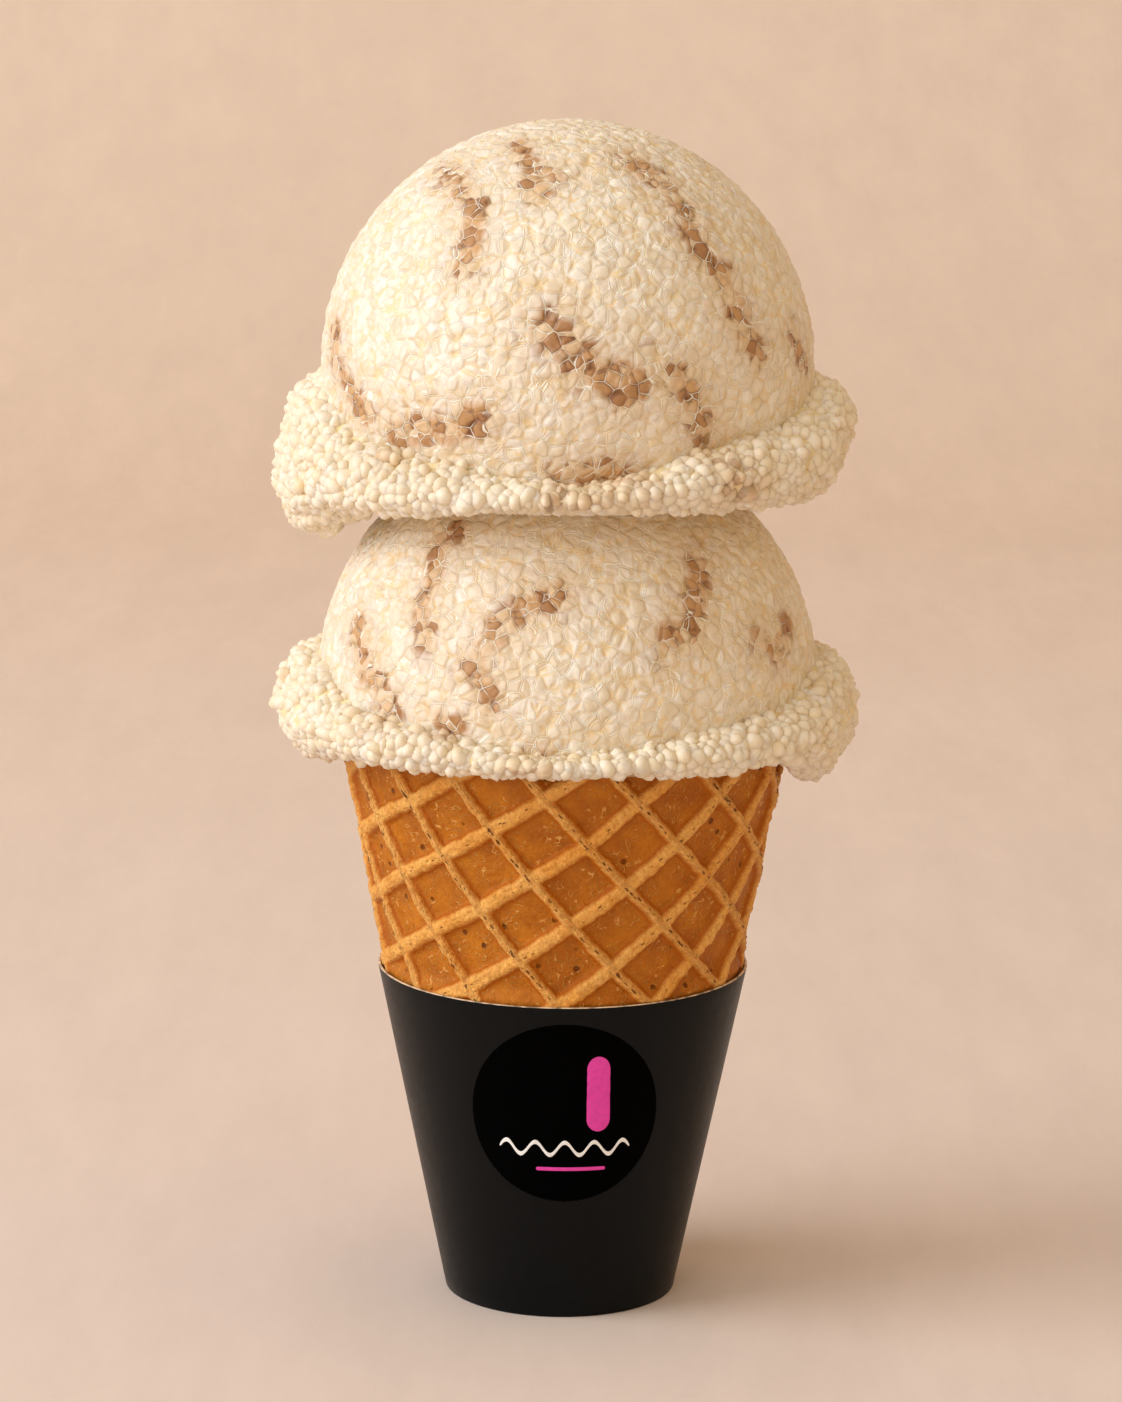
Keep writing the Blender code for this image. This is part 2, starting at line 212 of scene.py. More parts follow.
class Shader:
    """A short way to write a Principled node material."""

    def __init__(self, name, roughness=0.5):
        self.material = bpy.data.materials.new(name)
        self.material.use_nodes = True
        self.tree = self.material.node_tree
        self.principled = self.tree.nodes["Principled BSDF"]
        self.principled.inputs["Roughness"].default_value = roughness

    def node(self, kind, **settings):
        made = self.tree.nodes.new(kind)
        for key, value in settings.items():
            setattr(made, key, value)
        return made

    def link(self, source, target):
        self.tree.links.new(source, target)

    def attribute(self, name):
        """A float attribute of the mesh."""
        return self.node("ShaderNodeAttribute", attribute_name=name).outputs["Fac"]

    def noise(self, scale, detail=3.0, roughness=0.5, stretch=None):
        """Noise in metres of the object; scale is bumps per metre."""
        made = self.node("ShaderNodeTexNoise")
        made.inputs["Scale"].default_value = scale
        made.inputs["Detail"].default_value = detail
        made.inputs["Roughness"].default_value = roughness
        self.link(self.coordinates(stretch), made.inputs["Vector"])
        return made.outputs["Fac"]

    def voronoi(self, scale, vector=None):
        """Distance to the nearest of scattered points; scale is points per metre."""
        made = self.node("ShaderNodeTexVoronoi")
        made.inputs["Scale"].default_value = scale
        self.link(vector or self.coordinates(), made.inputs["Vector"])
        return made.outputs["Distance"]

    def cells(self, scale, warp):
        """Cells with wavy borders: a value for each, and the distance to its border."""
        waves = self.node("ShaderNodeTexNoise")
        waves.inputs["Scale"].default_value = scale
        self.link(self.coordinates(), waves.inputs["Vector"])
        scaled = self.node("ShaderNodeVectorMath", operation="SCALE")
        scaled.inputs["Scale"].default_value = warp
        self.link(waves.outputs["Color"], scaled.inputs[0])
        where = self.node("ShaderNodeVectorMath", operation="ADD")
        self.link(self.coordinates(), where.inputs[0])
        self.link(scaled.outputs["Vector"], where.inputs[1])
        nearest, border = (self.node("ShaderNodeTexVoronoi", feature=feature)
                           for feature in ("F1", "DISTANCE_TO_EDGE"))
        for made in (nearest, border):
            made.inputs["Scale"].default_value = scale
            self.link(where.outputs["Vector"], made.inputs["Vector"])
        value = self.node("ShaderNodeSeparateColor")
        self.link(nearest.outputs["Color"], value.inputs["Color"])
        return value.outputs["Red"], border.outputs["Distance"]

    def combine(self, first, second):
        """A flat vector of two values."""
        made = self.node("ShaderNodeCombineXYZ")
        self.link(first, made.inputs["X"])
        self.link(second, made.inputs["Y"])
        return made.outputs["Vector"]

    def coordinates(self, stretch=None):
        """Places in the object's own metres, scaled along each axis if asked."""
        where = self.node("ShaderNodeTexCoord").outputs["Object"]
        if not stretch:
            return where
        mapping = self.node("ShaderNodeMapping")
        mapping.inputs["Scale"].default_value = stretch
        self.link(where, mapping.inputs["Vector"])
        return mapping.outputs["Vector"]

    def ramp(self, source, *stops):
        """Map a value through (position, colour) stops."""
        made = self.node("ShaderNodeValToRGB")
        elements = made.color_ramp.elements
        while len(elements) < len(stops):
            elements.new(0.5)
        for element, (position, colour) in zip(elements, stops):
            element.position = position
            element.color = colour
        self.link(source, made.inputs["Fac"])
        return made.outputs["Color"]

    def span(self, source, low, high, to_low=0.0, to_high=1.0):
        """Map a value from one range to another, held at the ends."""
        made = self.node("ShaderNodeMapRange")
        for socket, value in zip(("From Min", "From Max", "To Min", "To Max"),
                                 (low, high, to_low, to_high)):
            made.inputs[socket].default_value = value
        self.link(source, made.inputs["Value"])
        return made.outputs["Result"]

    def maths(self, operation, first, second):
        """An operation on two values, each a number or a socket."""
        made = self.node("ShaderNodeMath", operation=operation)
        for socket, value in zip(made.inputs, (first, second)):
            if isinstance(value, (int, float)):
                socket.default_value = value
            else:
                self.link(value, socket)
        return made.outputs["Value"]

    def product(self, *values):
        """All the values multiplied together."""
        result = values[0]
        for value in values[1:]:
            result = self.maths("MULTIPLY", result, value)
        return result

    def mix(self, factor, first, second):
        """A blend of two colours."""
        made = self.node("ShaderNodeMix", data_type="RGBA")
        for socket, value in ((made.inputs["Factor"], factor), (made.inputs[6], first),
                              (made.inputs[7], second)):
            if isinstance(value, (int, float, tuple)):
                socket.default_value = value
            else:
                self.link(value, socket)
        return made.outputs[2]

    def bump(self, height, distance, strength=1.0):
        made = self.node("ShaderNodeBump")
        made.inputs["Distance"].default_value = distance
        made.inputs["Strength"].default_value = strength
        self.link(height, made.inputs["Height"])
        self.link(made.outputs["Normal"], self.principled.inputs["Normal"])

    def colour(self, source):
        self.link(source, self.principled.inputs["Base Color"])

    def roughness(self, source):
        self.link(source, self.principled.inputs["Roughness"])


def cream_material():
    """Ice cream: pale grains, brown where a streak passes; paler lips as a painted highlight,
    golden or brown creases and gaps as painted shade.
    """
    look = Shader("ice cream")
    crease = look.attribute("crease")
    packed = look.attribute("packed")
    tone, border = look.cells(600.0, 0.0004)
    # a grain is brown or not as a whole, so that a streak's edge follows the grains
    ragged = look.maths("ADD", look.attribute("tan"), look.span(tone, 0.0, 1.0, -0.3, 0.3))
    cloud = look.span(look.noise(420.0, 3.0), 0.3, 0.7, -0.2, 0.2)
    strong = look.span(look.maths("ADD", ragged, cloud), 0.34, 1.05, 0.0, 0.95)
    tan = look.maths("MAXIMUM", strong, look.span(look.attribute("tan"), 0.0, 0.4, 0.0, 0.26))
    pale = look.ramp(tone, (0.0, srgb(229, 214, 189)), (0.5, srgb(236, 224, 205)),
                     (1.0, srgb(242, 235, 223)))
    brown = look.ramp(tone, (0.0, srgb(218, 180, 132)), (0.5, srgb(200, 154, 102)),
                      (1.0, srgb(164, 112, 62)))
    body = look.mix(tan, pale, brown)
    # the paler lips along the grain borders are a painted highlight; the bump raises them too
    broken = look.span(look.noise(460.0, 2.0), 0.42, 0.56, 0.15, 1.0)
    lip_highlight = look.product(look.span(border, 0.012, 0.05, 1.0, 0.0), broken, packed)
    # painted shade in the creases: golden among pale grains, dark brown within a streak
    shade_colour = look.mix(tan, srgb(236, 208, 156), srgb(118, 68, 32))
    body = look.mix(look.product(crease, look.span(tan, 0.0, 0.5, 0.7, 1.0)), body, shade_colour)
    # painted shade: beside the borders, here and there, the gap between two grains is coloured
    # golden or brown
    gap_shade = look.product(look.span(border, 0.05, 0.14, 1.0, 0.0), packed,
                       look.span(look.noise(560.0, 2.0), 0.48, 0.58, 0.0, 0.85))
    body = look.mix(gap_shade, body, shade_colour)
    body = look.mix(look.product(lip_highlight, 0.85), body, srgb(255, 250, 238))
    loose = look.product(look.maths("SUBTRACT", 1.0, packed), 0.3)
    look.colour(look.mix(loose, body, srgb(246, 226, 194)))
    look.roughness(look.span(look.noise(900.0, 2.0), 0.3, 0.7, 0.34, 0.52))
    domed = look.product(look.span(border, 0.03, 0.22), packed)
    height = look.maths("ADD", look.product(look.noise(1400.0, 2.0), 0.5), look.product(lip_highlight, 0.8))
    look.bump(look.maths("ADD", height, look.product(domed, 0.9)), 0.00018, 0.8)
    shader = look.principled
    shader.inputs["Subsurface Weight"].default_value = 0.2
    shader.inputs["Subsurface Radius"].default_value = (1.0, 0.62, 0.34)
    shader.inputs["Subsurface Scale"].default_value = 0.0016
    shader.inputs["IOR"].default_value = 1.4
    return look.material


def core_shade_material():
    """The smooth body under the grains, seen only in the creases; its deeper, yellower colour is
    painted shade for the creases.
    """
    look = Shader("ice cream in the creases", 0.6)
    mottle = look.noise(350.0, 2.0)
    look.colour(look.ramp(mottle, (0.3, srgb(240, 212, 158)), (0.7, srgb(246, 226, 184))))
    look.principled.inputs["Subsurface Weight"].default_value = 0.2
    look.principled.inputs["Subsurface Scale"].default_value = 0.0016
    return look.material


# ---------------------------------------------------------------- streaks

def direction(bearing, latitude):
    """The unit vector at a bearing and a latitude."""
    across = math.cos(math.radians(latitude))
    flat = place(bearing, across, 0.0)
    return Vector((flat.x, flat.y, math.sin(math.radians(latitude))))


def streak_samples(streaks):
    """Unit vectors along the streaks, front and back, each with its half width in radians."""
    samples = []
    for turn in (0.0, BACK_TURN):
        for points, half_width in streaks:
            for (b0, l0), (b1, l1) in zip(points, points[1:]):
                for k in range(6):
                    part = k / 5.0
                    where = direction(b0 + (b1 - b0) * part + turn, l0 + (l1 - l0) * part)
                    samples.append((*where, math.radians(half_width)))
    return np.array(samples)


def tan_at(normals, samples, ragged):
    """How brown each place is: strong within a streak, ragged at its edge, faint around it."""
    cosines = np.clip(normals @ samples[:, :3].T, -1.0, 1.0)
    away = (np.arccos(cosines) / samples[:, 3]).min(axis=1)
    strong = np.clip(0.5 + (1.0 - away + ragged) * 0.9, 0.0, 1.0)
    faint = 0.24 * np.clip(2.6 - away, 0.0, 1.0)
    return np.maximum(strong, faint)


# ---------------------------------------------------------------- surfaces of the balls

def relaxed_ball_points(lowest_latitude, pitch, radius, rng):
    """Unit vectors spread over a ball down to a latitude, uneven but nowhere crowded."""
    count = int(4.0 * math.pi * radius ** 2 / (0.866 * pitch ** 2))
    k = np.arange(count)
    z = 1.0 - (2.0 * k + 1.0) / count
    keep = z > math.sin(math.radians(lowest_latitude))
    k, z = k[keep], z[keep]
    turn = k * math.pi * (3.0 - math.sqrt(5.0))
    across = np.sqrt(1.0 - z ** 2)
    points = np.stack([across * np.cos(turn), across * np.sin(turn), z], axis=1)
    step = pitch / radius
    points += rng.uniform(-0.42, 0.42, points.shape) * step
    points /= np.linalg.norm(points, axis=1, keepdims=True)
    for _ in range(2):
        tree = KDTree(len(points))
        for index, point in enumerate(points):
            tree.insert(point, index)
        tree.balance()
        moved = points.copy()
        for index, point in enumerate(points):
            for near, other, distance in tree.find_range(point, step * 0.86):
                if other != index:
                    away = point - np.array(near)
                    moved[index] += away / max(distance, 1e-6) * (step * 0.86 - distance) * 0.4
        points = moved / np.linalg.norm(moved, axis=1, keepdims=True)
    return points


def ball_net(frequency):
    """Unit vectors and triangles of an icosahedron whose faces are cut into a fine even net."""
    made = bmesh.new()
    bmesh.ops.create_icosphere(made, subdivisions=1, radius=1.0)
    corners = np.array([[tuple(v.co) for v in face.verts] for face in made.faces])
    made.free()
    steps = [(i, j) for i in range(frequency + 1) for j in range(frequency + 1 - i)]
    number = {step: k for k, step in enumerate(steps)}
    shares = np.array([(frequency - i - j, i, j) for i, j in steps]) / frequency
    patch = []
    for i in range(frequency):
        for j in range(frequency - i):
            patch.append((number[i, j], number[i + 1, j], number[i, j + 1]))
            if i + j < frequency - 1:
                patch.append((number[i + 1, j], number[i + 1, j + 1], number[i, j + 1]))
    points = (shares[None] @ corners).reshape(-1, 3)
    points /= np.linalg.norm(points, axis=1, keepdims=True)
    starts = len(steps) * np.arange(len(corners))
    triangles = (np.array(patch)[None] + starts[:, None, None]).reshape(-1, 3)
    _, first, same = np.unique(np.round(points, 6), axis=0, return_index=True, return_inverse=True)
    return points[first], same.ravel()[triangles]


def grainy_ball(name, node, centre, radius, streaks, material, seed, lowest, shown):
    """A ball's open surface, down into its skirt: packed grains, each tilted and domed."""
    rng = np.random.default_rng(seed)
    grains = relaxed_ball_points(lowest - 6.0, GRAIN_PITCH, radius, rng)
    tree = KDTree(len(grains))
    for index, grain in enumerate(grains):
        tree.insert(grain, index)
    tree.balance()
    normals, triangles = ball_net(NET_FREQUENCY)
    solid = solid_tree(node)
    kept = np.array([n[2] > math.sin(math.radians(lowest)) and shown(n)
                     and not is_buried(solid, centre, n, radius) for n in normals])
    triangles = triangles[kept[triangles].all(axis=1)]
    used, triangles = np.unique(triangles, return_inverse=True)
    normals = normals[used]
    near = np.array([[found[1] for found in tree.find_n(n, 6)] for n in normals])
    rise = rng.normal(0.0, GRAIN_RISE, len(grains))
    tilt = rng.normal(0.0, GRAIN_TILT, grains.shape)
    bulge = GRAIN_FALL / (0.5 * GRAIN_PITCH * rng.uniform(0.85, 1.2, len(grains))) ** 2
    offset = (normals[:, None, :] - grains[near]) * radius
    dome = bulge[near] * (offset ** 2).sum(axis=2)
    height = rise[near] + (offset * tilt[near]).sum(axis=2) - dome
    top = height.max(axis=1)
    fine = fractal(normals * radius, 900.0, 2) * 0.04 * MM
    ragged = 0.4 * fractal(normals * radius, 300.0, 3)
    reach = radius + 0.08 * MM + np.maximum(top, -0.3 * MM) + fine
    points = np.array(centre) + normals * reach[:, None]
    # the crease attribute is painted shade, stronger where the surface lies low between the grains
    return mesh_object(name, points, triangles.reshape(-1, 3)[:, ::-1], material,
                       tan=tan_at(normals, streak_samples(streaks), ragged),
                       packed=np.ones(len(points)),
                       crease=smooth_step(0.10 * MM, 0.26 * MM, -top - fine))


# ---------------------------------------------------------------- surfaces of the CAD solids

def node_points(node):
    """A node's vertices and triangles as arrays."""
    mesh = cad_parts[node].data
    points = np.empty(len(mesh.vertices) * 3, dtype=np.float32)
    mesh.vertices.foreach_get("co", points)
    mesh.calc_loop_triangles()
    triangles = np.empty(len(mesh.loop_triangles) * 3, dtype=np.int32)
    mesh.loop_triangles.foreach_get("vertices", triangles)
    return points.reshape(-1, 3).astype(float), triangles.reshape(-1, 3)


def solid_tree(node):
    """A node's surface, to measure distances from."""
    points, triangles = node_points(node)
    return BVHTree.FromPolygons([tuple(p) for p in points],
                                [tuple(int(i) for i in t) for t in triangles])


def is_buried(solid, centre, normal, radius):
    """Whether a place on the ball lies inside the skirt, away from the solid's surface."""
    return solid.find_nearest(centre + Vector(normal) * radius)[3] > BURIED_DEPTH


def skirt_places(node, keep, pitch, seed):
    """Places and outward directions spread evenly over the part of a node that keep() allows."""
    rng = np.random.default_rng(seed)
    points, triangles = node_points(node)
    a, b, c = (points[triangles[:, k]] for k in range(3))
    cross = np.cross(b - a, c - a)
    area = 0.5 * np.linalg.norm(cross, axis=1)
    normals = cross / np.maximum(2.0 * area, 1e-12)[:, None]
    middle = (a + b + c) / 3.0
    tries = int(area.sum() / pitch ** 2 * BEAD_TRIES)
    pick = rng.choice(len(area), tries, p=area / area.sum())
    u, v = rng.random(tries), rng.random(tries)
    flip = u + v > 1.0
    u[flip], v[flip] = 1.0 - u[flip], 1.0 - v[flip]
    spots = a[pick] + u[:, None] * (b - a)[pick] + v[:, None] * (c - a)[pick]
    spots = spots[keep(spots)]
    taken = np.empty(spots.shape)
    count = 0
    for spot in spots:
        room = pitch * rng.uniform(0.78, 1.08)
        if count and ((taken[:count] - spot) ** 2).sum(axis=1).min() < room ** 2:
            continue
        taken[count] = spot
        count += 1
    spots = taken[:count]
    smooth = []
    for spot in spots:
        weight = area * np.exp(-((middle - spot) ** 2).sum(axis=1) / BEAD_FACING ** 2)
        mean = (normals * weight[:, None]).sum(axis=0)
        smooth.append(mean / np.linalg.norm(mean))
    return spots, np.array(smooth)


def unit_bead():
    """Points and triangles of a round bead of radius 1."""
    made = bmesh.new()
    bmesh.ops.create_icosphere(made, subdivisions=2, radius=1.0)
    points = np.array([tuple(v.co) for v in made.verts])
    faces = np.array([[v.index for v in f.verts] for f in made.faces])
    made.free()
    return points, faces


def beads(name, spots, outwards, streaks, centre, material, seed):
    """One joined mesh of knobbly beads set in a skirt."""
    rng = np.random.default_rng(seed)
    ball, ball_faces = unit_bead()
    from_centre = spots - np.array(centre)
    directions = from_centre / np.linalg.norm(from_centre, axis=1)[:, None]
    tans = tan_at(directions, streak_samples(streaks), rng.uniform(-0.35, 0.5, len(spots)))
    points, faces, crease, tan = [], [], [], []
    for index, (spot, outward) in enumerate(zip(spots, outwards)):
        size = BEAD_RADIUS * rng.uniform(0.74, 1.28)
        stretch = np.array([rng.uniform(0.82, 1.12), rng.uniform(0.82, 1.12),
                            rng.uniform(0.95, 1.35)])
        lean = Vector(outward) + Vector(rng.normal(0.0, 0.28, 3))
        spin = Matrix.Rotation(rng.uniform(0, 6.28), 3, "Z")
        turn = lean.to_track_quat("Z", "Y").to_matrix() @ spin
        knobs = rng.normal(0.0, 1.0, (6, 3))
        knobs /= np.linalg.norm(knobs, axis=1, keepdims=True)
        swell = 0.9 + 0.42 * np.maximum(0.0, ball @ knobs[:4].T - 0.5).sum(axis=1)
        flats = 1.0 - 0.5 * np.maximum(0.0, ball @ knobs[4:].T - 0.55).sum(axis=1)
        shape = ball * (swell * flats)[:, None] * stretch * size
        shape = shape @ np.array(turn).T
        lump = max(-0.12, noise.noise(Vector(spot) * 230.0) * 0.9) * MM
        sink = size * stretch[2] + 0.15 * MM - lump - rng.uniform(-0.25, 0.35) * MM
        middle = spot - outward * max(sink, size * 0.55)
        start = len(points) * len(ball)
        points.append(shape + middle)
        faces.append(ball_faces + start)
        # painted shade: the side of each bead that faces into the skirt is coloured deeper and more
        # golden
        crease.append(np.clip(0.8 - 1.1 * ball[:, 2], 0.0, 1.0))
        tan.append(np.full(len(ball), tans[index] * 0.75))
    crease = np.concatenate(crease)
    return mesh_object(name, np.concatenate(points), np.concatenate(faces), material,
                       crease=crease, packed=np.zeros(len(crease)), tan=np.concatenate(tan))


def core(name, node, centre, radius, material):
    """The node's own shape, smoothed and drawn in under the grains."""
    made = bmesh.new()
    made.from_mesh(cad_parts[node].data)
    bmesh.ops.remove_doubles(made, verts=made.verts, dist=0.00001)
    bmesh.ops.recalc_face_normals(made, faces=made.faces)
    made.normal_update()
    shift = [(v, v.normal.copy()) for v in made.verts]
    for vertex, normal in shift:
        on_ball = normal.dot((vertex.co - centre).normalized()) > 0.995
        vertex.co -= normal * (BALL_CORE_DEPTH if on_ball else SKIRT_CORE_DEPTH)
    mesh = bpy.data.meshes.new(name)
    made.to_mesh(mesh)
    made.free()
    mesh.shade_smooth()
    mesh.materials.append(material)
    thing = bpy.data.objects.new(name, mesh)
    bpy.context.scene.collection.objects.link(thing)
    return thing


# ---------------------------------------------------------------- scoops

def proud_of(spots, centre, radius):
    """How far places stand out from a ball."""
    return np.linalg.norm(spots - np.array(centre), axis=1) - radius


def lower_skirt_part(spots):
    """Places on the lower scoop's skirt, without the ball, the seat and the plug."""
    outside = np.hypot(spots[:, 0], spots[:, 1]) > cone_radius(spots[:, 2]) + 1.0 * MM
    low = spots[:, 2] < LOWER_CENTRE.z + 9.0 * MM
    return outside & low & (proud_of(spots, LOWER_CENTRE, LOWER_RADIUS) > 0.2 * MM)


def upper_skirt_part(spots):
    """Places on the upper scoop's skirt, without the ball and the hollow of its seat."""
    outside = proud_of(spots, LOWER_CENTRE, LOWER_RADIUS) > 1.2 * MM
    return outside & (proud_of(spots, UPPER_CENTRE, UPPER_RADIUS) > 0.2 * MM)


def make_scoops():
    """Both scoops: for each a smooth body, the grainy ball and the beads of its skirt."""
    cream = cream_material()
    under = core_shade_material()
    scoops = (
        ("upper", "scoop_upper", UPPER_CENTRE, UPPER_RADIUS, UPPER_STREAKS, upper_skirt_part,
         -28.0, lambda normal: True, 11),
        ("lower", "scoop_lower", LOWER_CENTRE, LOWER_RADIUS, LOWER_STREAKS, lower_skirt_part,
         -10.0, lambda normal: normal[2] < 0.90, 23),
    )
    for label, node, centre, radius, streaks, part, lowest, shown, seed in scoops:
        body = core(label + "_scoop_core", node, centre, radius, under)
        finish_piece(body, "ice_cream", node)
        ball = grainy_ball(label + "_scoop_grains", node, centre, radius, streaks, cream, seed,
                           lowest, shown)
        finish_piece(ball, "ice_cream")
        spots, outwards = skirt_places(node, part, BEAD_PITCH, seed + 1)
        skirt = beads(label + "_skirt_beads", spots, outwards, streaks, centre, cream, seed + 2)
        finish_piece(skirt, "ice_cream")


# ---------------------------------------------------------------- waffle cone

def sleeve_radius(z):
    """Outer radius of the sleeve at a height."""
    return SLEEVE_FOOT_RADIUS + (SLEEVE_RIM_RADIUS - SLEEVE_FOOT_RADIUS) * z / SLEEVE_HEIGHT


def cone_radius(z):
    """Outer radius of the cone at a height, over the ridges."""
    above = np.maximum(z - SLEEVE_HEIGHT, 0.0)
    return sleeve_radius(np.minimum(z, SLEEVE_HEIGHT)) - CARD - GAP + CONE_FLARE * above


def smooth_step(low, high, value):
    """From 0 at low to 1 at high, with soft ends."""
    share = np.clip((value - low) / (high - low), 0.0, 1.0)
    return share * share * (3.0 - 2.0 * share)


def fractal(points, scale, octaves=3):
    """Fractal noise at an array of places, about -1 to 1."""
    return np.array([noise.fractal(Vector(p) * scale, 0.6, 2.1, octaves) for p in points])


def waffle_relief(bearing, z, spots):
    """Depth under the crests, the amount of ridge, and the steps of the grid, on the cone."""
    slope = math.atan(CONE_FLARE)
    tip = SLEEVE_HEIGHT - cone_radius(SLEEVE_HEIGHT) / CONE_FLARE
    slant = (z - tip) / math.cos(slope)
    angle = np.radians(bearing) * math.sin(slope)
    wobble = fractal(spots, 90.0, 2) * 0.22 * MM
    sheet = np.stack([slant * np.sin(angle) + wobble, slant * np.cos(angle) - wobble], axis=1)
    basis = np.array([GRID_ALONG, GRID_ACROSS]).T
    falling_step, rising_step = np.linalg.solve(basis, (sheet - np.array(GRID_CORNER)).T)
    area = abs(np.linalg.det(basis))
    crumble = fractal(spots, 520.0, 3) * 0.19 * MM

    def ridge_at(steps, spacing, crest):
        distance = np.abs(steps - np.round(steps)) * spacing + crumble
        return 1.0 - np.clip((distance - 0.5 * crest) / BEVEL, 0.0, 1.0)

    falling = ridge_at(falling_step, area / GRID_ACROSS.length, FALLING_RIDGE)
    rising = ridge_at(rising_step, area / GRID_ALONG.length, RISING_RIDGE)
    ridge = np.maximum(falling, RISING_HEIGHT * rising)
    flakes = fractal(spots, 1100.0, 2) * 0.14 * MM
    depth = POCKET_DEPTH * (1.0 - ridge) + flakes * (0.7 + ridge) + 0.1 * MM
    depth *= 0.3 + 0.7 * smooth_step(SLEEVE_HEIGHT, SLEEVE_HEIGHT + 2.5 * MM, z)
    return np.maximum(depth, 0.0), np.maximum(falling, rising), falling_step, rising_step


def wrap_rise(bearing):
    """How far the rolled overlap stands out at a bearing."""
    before_edge = (WRAP_BEARING - bearing) % 360.0
    return WRAP_STEP * np.maximum(0.0, 1.0 - before_edge / WRAP_ARC)


def wafer_material():
    """Baked wafer: golden ridges with pitted crests, browner pockets with fine pale swirls; the
    light and dark of crests, slopes, pits, grooves and lips is partly painted light and shade.
    """
    look = Shader("baked wafer")
    ridge = look.attribute("ridge")
    falling = look.attribute("falling_step")
    rising = look.attribute("rising_step")
    beside_falling = look.maths("PINGPONG", falling, 0.5)
    beside_rising = look.maths("PINGPONG", rising, 0.5)
    pocket = look.span(ridge, 0.0, 0.25, 1.0, 0.0)
    mottle = look.noise(240.0, 4.0, 0.6)
    grain = look.noise(1900.0, 3.0, 0.6)

    # fine pale swirls on the pocket floors: level lines of a noise, broken up by another
    level = look.maths("PINGPONG", look.product(look.noise(560.0, 1.0), 5.0), 0.5)
    swirl = look.product(look.span(level, 0.0, 0.10, 1.0, 0.0), pocket,
                         look.span(look.noise(330.0, 1.0), 0.42, 0.50))
    pins = look.product(look.span(look.voronoi(330.0), 0.09, 0.15, 1.0, 0.0), pocket)

    # pits in a row along each crest, longer than they are wide
    def crest_pits(beside, across, along, reach, chance):
        scattered = look.voronoi(1.0, look.combine(look.product(across, 17.0),
                                                   look.product(along, 6.5)))
        return look.product(look.span(scattered, chance - 0.1, chance, 1.0, 0.0),
                            look.span(beside, reach * 0.7, reach, 1.0, 0.0))

    pits = look.maths("MAXIMUM", crest_pits(beside_falling, falling, rising, 0.030, 0.34),
                      crest_pits(beside_rising, rising, falling, 0.040, 0.22))
    pits = look.maths("MAXIMUM", pits, pins)
    groove = look.span(beside_falling, 0.006, 0.020, 1.0, 0.0)
    lips = look.product(look.span(beside_falling, 0.016, 0.026),
                        look.span(beside_falling, 0.034, 0.048, 1.0, 0.0))

    # the paler crests and the darker slopes and pocket floors are partly the wafer's own browning
    # and partly painted light and shade on the relief
    floor = look.ramp(mottle, (0.3, srgb(160, 86, 8)), (0.7, srgb(200, 124, 28)))
    crest = look.ramp(mottle, (0.3, srgb(236, 164, 70)), (0.7, srgb(250, 194, 108)))
    slope = look.mix(look.span(ridge, 0.0, 0.3), floor, srgb(182, 98, 8))
    body = look.mix(look.span(ridge, 0.4, 0.85), slope, crest)
    body = look.mix(look.product(swirl, 0.9), body, srgb(246, 186, 104))
    # painted highlight on the raised lips beside each falling crest
    body = look.mix(look.product(lips, 0.5), body, srgb(250, 198, 126))
    # painted shade in the groove between the lips
    body = look.mix(look.product(groove, 0.35), body, srgb(196, 116, 30))
    # painted shade: the pits and pinholes are coloured near black
    body = look.mix(look.product(pits, 0.9), body, srgb(92, 40, 4))
    body = look.mix(look.span(grain, 0.35, 0.65, 0.0, 0.38), body, srgb(170, 92, 14))
    look.colour(body)
    look.roughness(look.span(mottle, 0.3, 0.7, 0.45, 0.62))
    height = look.maths("ADD", look.product(lips, 0.4), look.product(swirl, 0.35))
    height = look.maths("ADD", height, look.product(grain, look.span(ridge, 0.2, 0.8, 0.8, 1.6)))
    height = look.maths("SUBTRACT", height, look.product(pits, 0.9))
    look.bump(height, 0.00032, 1.0)
    shader = look.principled
    shader.inputs["Specular IOR Level"].default_value = 0.2
    shader.inputs["Subsurface Weight"].default_value = 0.1
    shader.inputs["Subsurface Scale"].default_value = 0.001
    return look.material


